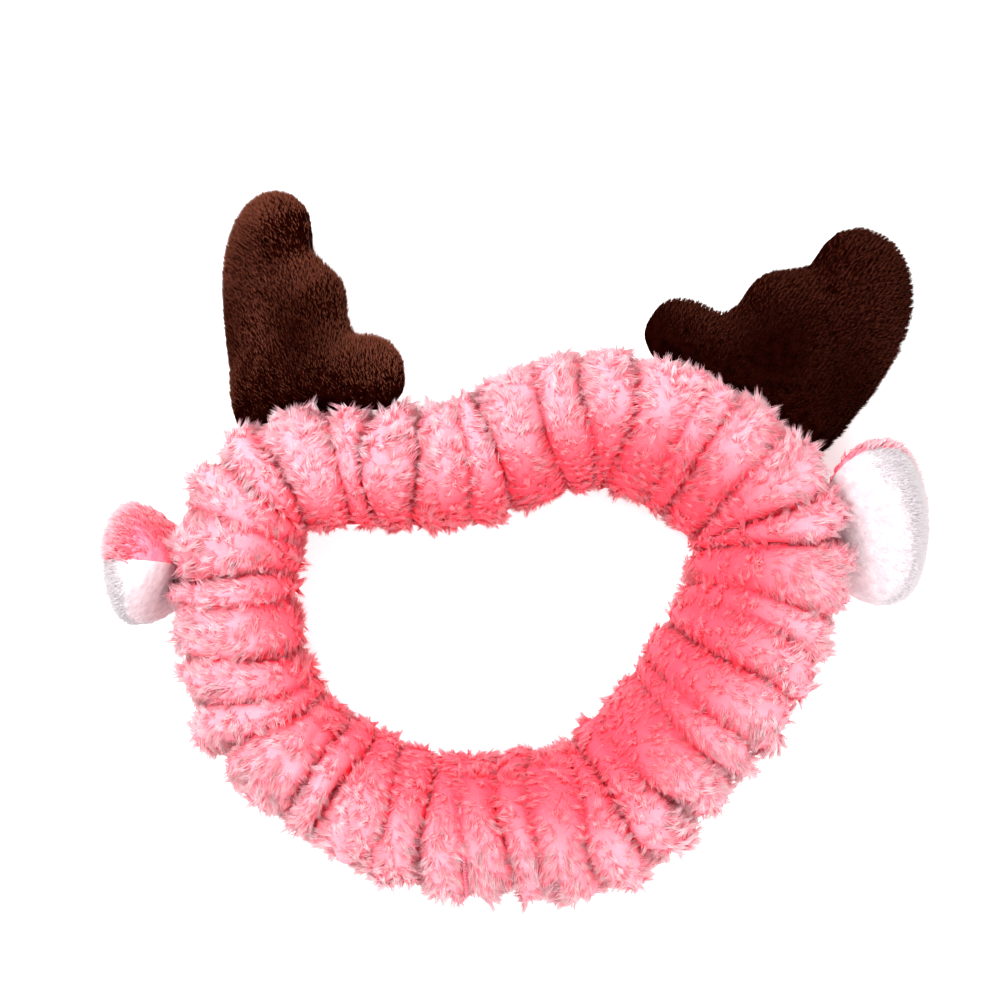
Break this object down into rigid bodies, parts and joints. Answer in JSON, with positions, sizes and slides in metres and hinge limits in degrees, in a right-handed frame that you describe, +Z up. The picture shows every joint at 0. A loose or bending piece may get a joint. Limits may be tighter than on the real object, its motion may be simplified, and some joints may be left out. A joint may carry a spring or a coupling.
{
  "type": "spa headband",
  "caption": "Gathered pink plush elastic headband for spa use, lying slack as a loop, with two stuffed brown plush antlers and two stuffed pink and white ears sewn to it.",
  "frame": {"origin": "under the middle of the headband's overall box, on the table it lies on", "axes": "+Z up along the way the wearer's head goes through, +Y towards the side of the loop that carries the antlers, +X towards the wearer's-right antler as it lies"},
  "size_m": [0.2594, 0.2236, 0.0607],
  "materials": {
    "pink_plush": "long tufted coral fleece, matt with a soft sheen",
    "white_plush": "short smooth velour pile",
    "brown_plush": "short dense velvety pile with a dark sheen",
    "polyester_wadding": "loose fibre",
    "pink_thread": "spun polyester thread",
    "brown_thread": "spun polyester thread",
    "white_thread": "spun polyester thread",
    "elastic_webbing": "ribbed woven elastic"
  },
  "bodies": {
    "band": {"band_cover": "pink_plush", "band_long_seam": "pink_thread", "band_closing_seam": "pink_thread", "elastic_loop": "elastic_webbing", "elastic_tack": "white_thread"},
    "antler_left": {"antler_left_front": "brown_plush", "antler_left_back": "brown_plush", "antler_left_wadding": "polyester_wadding", "antler_left_edge_seam": "brown_thread", "antler_left_root_stitches": "brown_thread"},
    "antler_right": {"antler_right_front": "brown_plush", "antler_right_back": "brown_plush", "antler_right_wadding": "polyester_wadding", "antler_right_edge_seam": "brown_thread", "antler_right_root_stitches": "brown_thread"},
    "ear_left": {"ear_left_lining": "white_plush", "ear_left_back": "pink_plush", "ear_left_wadding": "polyester_wadding", "ear_left_edge_seam": "pink_thread", "ear_left_root_stitches": "pink_thread"},
    "ear_right": {"ear_right_lining": "white_plush", "ear_right_back": "pink_plush", "ear_right_wadding": "polyester_wadding", "ear_right_edge_seam": "pink_thread", "ear_right_root_stitches": "pink_thread"}
  },
  "joints": [
    {"name": "antler_left_bend", "type": "hinge", "parent": "band", "child": "antler_left", "pos_m": [-0.06914, 0.03991, 0.02], "axis": [0.786, 0.0563, 0.6157], "range_deg": [-30, 18], "stiffness_Nm_per_rad": 0.06},
    {"name": "antler_right_bend", "type": "hinge", "parent": "band", "child": "antler_right", "pos_m": [0.08226, 0.03218, 0.017], "axis": [0.8397, -0.5386, 0.0698], "range_deg": [-10, 30], "stiffness_Nm_per_rad": 0.06},
    {"name": "ear_left_fold", "type": "hinge", "parent": "band", "child": "ear_left", "pos_m": [-0.10407, -0.00859, 0.03329], "axis": [-0.2067, 0.1047, 0.9728], "range_deg": [-30, 30], "stiffness_Nm_per_rad": 0.04},
    {"name": "ear_right_fold", "type": "hinge", "parent": "band", "child": "ear_right", "pos_m": [0.1047, 0.00342, 0.024], "axis": [0.0623, -0.8966, -0.4384], "range_deg": [-25, 35], "stiffness_Nm_per_rad": 0.04}
  ]
}
